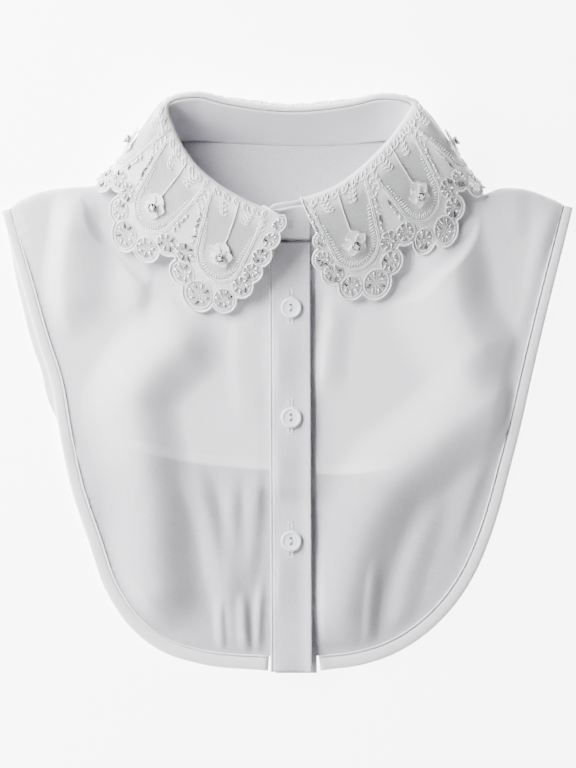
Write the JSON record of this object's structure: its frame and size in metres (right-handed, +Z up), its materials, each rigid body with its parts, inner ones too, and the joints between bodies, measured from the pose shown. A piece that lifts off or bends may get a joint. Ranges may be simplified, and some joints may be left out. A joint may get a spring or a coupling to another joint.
{
  "type": "false collar",
  "caption": "Sleeveless false collar laid flat, with a turned-down scalloped lace fall, a neck band, a buttoned placket and curved panels bound at their edges.",
  "frame": {"origin": "centre of the bounding box in X and Y, on the surface that the garment lies on", "axes": "+X to the right as the front is looked at from above, +Y from the hem to the neck, +Z up off the surface"},
  "size_m": [0.354, 0.3594, 0.0342],
  "materials": {
    "chiffon": "matte white crepe chiffon",
    "binding": "folded bias strip of the same chiffon",
    "lace": "organza with corded embroidery and bugle beads",
    "organza": "crisp satin organza petals",
    "stone": "clear faceted stone in a silver claw cup",
    "button": "pearly white shirt button"
  },
  "bodies": {
    "root": {"front_left": "chiffon", "front_right": "chiffon", "back": "chiffon", "binding_front_left": "binding", "binding_front_right": "binding", "binding_back": "binding", "placket": "chiffon", "under_placket": "chiffon", "neck_band": "chiffon", "collar_fall": "lace", "flower_1": "organza", "flower_2": "organza", "flower_3": "organza", "flower_4": "organza", "flower_5": "organza", "flower_6": "organza", "rhinestone_1": "stone", "rhinestone_2": "stone", "rhinestone_3": "stone", "rhinestone_4": "stone", "rhinestone_5": "stone", "rhinestone_6": "stone", "button_1": "button", "button_2": "button", "button_3": "button"}
  },
  "joints": []
}
